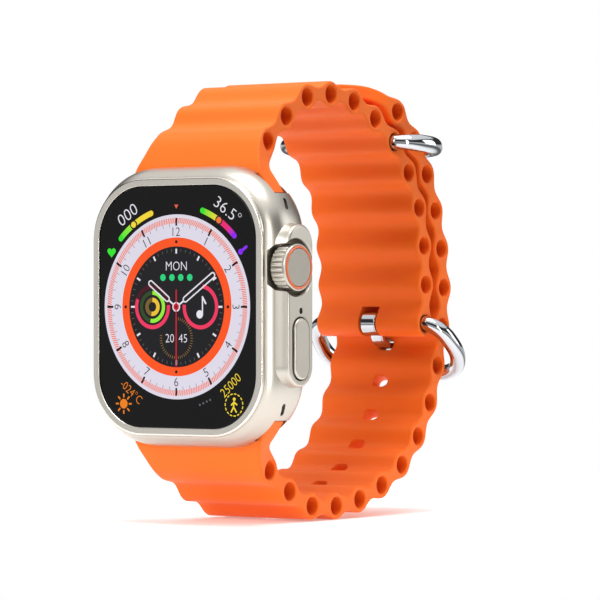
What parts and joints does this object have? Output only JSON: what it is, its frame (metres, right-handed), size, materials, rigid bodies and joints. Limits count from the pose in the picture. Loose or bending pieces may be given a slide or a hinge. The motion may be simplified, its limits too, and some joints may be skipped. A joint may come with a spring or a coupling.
{
  "type": "gps running watch",
  "caption": "Square-cased running watch with crown, side button and a ribbed tube band closed in a loop by a keeper and a buckle ring.",
  "frame": {"origin": "middle of the flat on the sensor window, where the wrist rests", "axes": "+Y from the dial into the wrist, +Z towards twelve o'clock, +X towards three o'clock and the crown"},
  "size_m": [0.0439, 0.0715, 0.0784],
  "materials": {
    "titanium": "fine bead-blasted titanium",
    "glass": "dark polished crystal over a lit display",
    "ceramic": "polished dark ceramic",
    "elastomer": "smooth satin fluoroelastomer, orange",
    "chrome": "polished",
    "steel": "plain",
    "orange_lacquer": "anodised orange",
    "seal": "matt",
    "plastic": "moulded",
    "laminate": "solder-masked circuit board",
    "copper": "wound enamelled copper"
  },
  "bodies": {
    "case": {"case_shell": "titanium", "front_crystal": "glass", "crystal_gasket": "seal", "display_panel": "glass", "display_frame": "plastic", "main_board": "laminate", "battery": "plastic", "gps_antenna": "copper", "speaker": "plastic", "microphone": "steel", "vibration_motor": "steel", "crown_bush": "steel", "crown_encoder": "plastic", "crown_switch": "steel", "button_switch": "steel", "back_cover": "ceramic", "back_gasket": "seal", "back_screw_1": "steel", "back_screw_2": "steel", "back_screw_3": "steel", "back_screw_4": "steel", "sensor_window": "glass", "sensor_board": "laminate", "charging_coil": "copper"},
    "crown_push": {"crown_plunger": "steel"},
    "crown": {"crown_knob": "titanium", "crown_stem": "steel", "crown_seal": "seal", "crown_ring": "orange_lacquer", "crown_face": "titanium"},
    "side_key": {"side_button": "titanium", "side_button_seal": "seal"},
    "upper_release": {"upper_release_button": "ceramic"},
    "lower_release": {"lower_release_button": "ceramic"},
    "upper_band": {"upper_strap": "elastomer", "upper_connector": "titanium", "upper_catch": "steel"},
    "lower_band": {"lower_strap": "elastomer", "lower_connector": "titanium", "lower_catch": "steel"},
    "keeper": {"keeper_loop": "chrome", "keeper_bar": "chrome"},
    "buckle": {"buckle_ring": "chrome", "buckle_bar": "chrome"},
    "tongue": {"buckle_tongue": "chrome"}
  },
  "joints": [
    {"name": "crown_press", "type": "slide", "parent": "case", "child": "crown_push", "axis": [-1, 0, 0], "range_m": [0, 0.0004], "stiffness_N_per_m": 2500, "springref_m": -0.0005},
    {"name": "crown_turn", "type": "hinge", "parent": "crown_push", "child": "crown", "pos_m": [0.0212, -0.0096, 0.00675], "axis": [1, 0, 0], "continuous": true},
    {"name": "side_button_press", "type": "slide", "parent": "case", "child": "side_key", "axis": [-1, 0, 0], "range_m": [0, 0.0004], "stiffness_N_per_m": 2500, "springref_m": -0.0005},
    {"name": "upper_release_press", "type": "slide", "parent": "case", "child": "upper_release", "axis": [0, -1, 0], "range_m": [0, 0.0006], "stiffness_N_per_m": 2000, "springref_m": -0.0004},
    {"name": "lower_release_press", "type": "slide", "parent": "case", "child": "lower_release", "axis": [0, -1, 0], "range_m": [0, 0.0006], "stiffness_N_per_m": 2000, "springref_m": -0.0004},
    {"name": "upper_band_slide", "type": "slide", "parent": "case", "child": "upper_band", "axis": [1, 0, 0], "range_m": [-0.036, 0.036]},
    {"name": "lower_band_slide", "type": "slide", "parent": "case", "child": "lower_band", "axis": [1, 0, 0], "range_m": [-0.036, 0.036]},
    {"name": "keeper_swing", "type": "hinge", "parent": "upper_band", "child": "keeper", "pos_m": [0, 0.03533, 0.0301], "axis": [1, 0, 0], "range_deg": [-2.5, 12]},
    {"name": "buckle_swing", "type": "hinge", "parent": "upper_band", "child": "buckle", "pos_m": [0, 0.0452, -0.0031], "axis": [1, 0, 0], "range_deg": [-5, 1.2]},
    {"name": "tongue_swing", "type": "hinge", "parent": "upper_band", "child": "tongue", "pos_m": [0, 0.0452, -0.0031], "axis": [1, 0, 0], "range_deg": [-1, 1]}
  ],
  "couplings": [
    {"joint": "lower_band_slide", "follows": "upper_band_slide", "ratio": 1}
  ]
}
